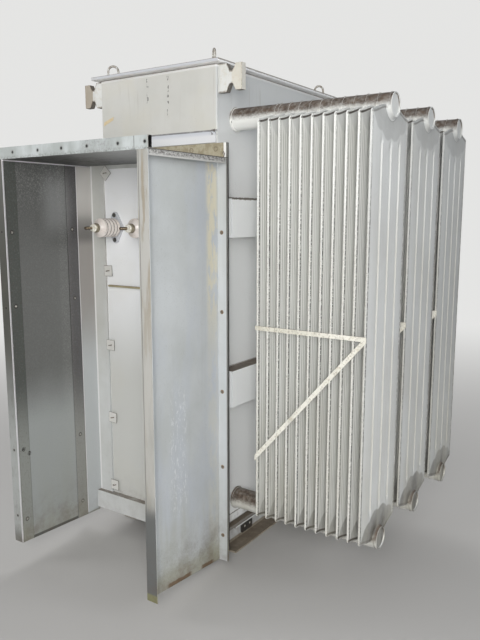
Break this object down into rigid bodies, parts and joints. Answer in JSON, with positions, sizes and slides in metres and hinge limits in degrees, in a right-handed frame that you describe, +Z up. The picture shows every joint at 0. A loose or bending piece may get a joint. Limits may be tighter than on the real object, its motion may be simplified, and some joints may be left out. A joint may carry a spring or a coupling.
{
  "type": "power transformer",
  "caption": "Oil filled power transformer with a welded tank, fluted panel radiators on one side, an open sheet metal terminal chamber with porcelain bushings, lifting lugs and base rails.",
  "frame": {"origin": "middle of the whole plan, at floor level", "axes": "+Z up; the terminal chamber's open side faces -Y; the radiators stand off the tank's +X wall"},
  "size_m": [1.453, 1.5826, 2.1576],
  "materials": {
    "tank_paint": "satin",
    "radiator_paint": "satin",
    "chamber_paint": "satin",
    "base_paint": "matte",
    "porcelain": "gloss",
    "terminal_brass": "satin"
  },
  "bodies": {
    "root": {"base_cross_rail_front": "base_paint", "base_cross_rail_rear": "base_paint", "base_rail_left": "base_paint", "base_rail_right": "base_paint", "bushing_1": "porcelain", "bushing_2": "porcelain", "bushing_3": "porcelain", "bushing_clamp_1": "tank_paint", "bushing_clamp_2": "tank_paint", "bushing_clamp_3": "tank_paint", "bushing_terminal_1": "terminal_brass", "bushing_terminal_2": "terminal_brass", "bushing_terminal_3": "terminal_brass", "chamber_roof": "chamber_paint", "chamber_wall_left": "chamber_paint", "chamber_wall_right": "chamber_paint", "cover_eye_front_left": "tank_paint", "cover_eye_front_right": "tank_paint", "cover_eye_rear_left": "tank_paint", "cover_eye_rear_right": "tank_paint", "earth_pad_front": "base_paint", "earth_pad_rear": "base_paint", "front_shelf_bar": "tank_paint", "front_top_band": "tank_paint", "lifting_lug_front_left": "tank_paint", "lifting_lug_front_right": "tank_paint", "lifting_lug_rear_left": "tank_paint", "lifting_lug_rear_right": "tank_paint", "mounting_frame": "tank_paint", "radiator_1": "radiator_paint", "radiator_2": "radiator_paint", "radiator_3": "radiator_paint", "radiator_brace_1": "radiator_paint", "radiator_brace_2": "radiator_paint", "radiator_brace_3": "radiator_paint", "stiffener_left_lower": "tank_paint", "stiffener_left_upper": "tank_paint", "stiffener_rear_lower": "tank_paint", "stiffener_rear_upper": "tank_paint", "stiffener_right_lower": "tank_paint", "stiffener_right_upper": "tank_paint", "tank_bottom_plate": "tank_paint", "tank_cover": "tank_paint", "tank_shell": "tank_paint"}
  },
  "joints": []
}
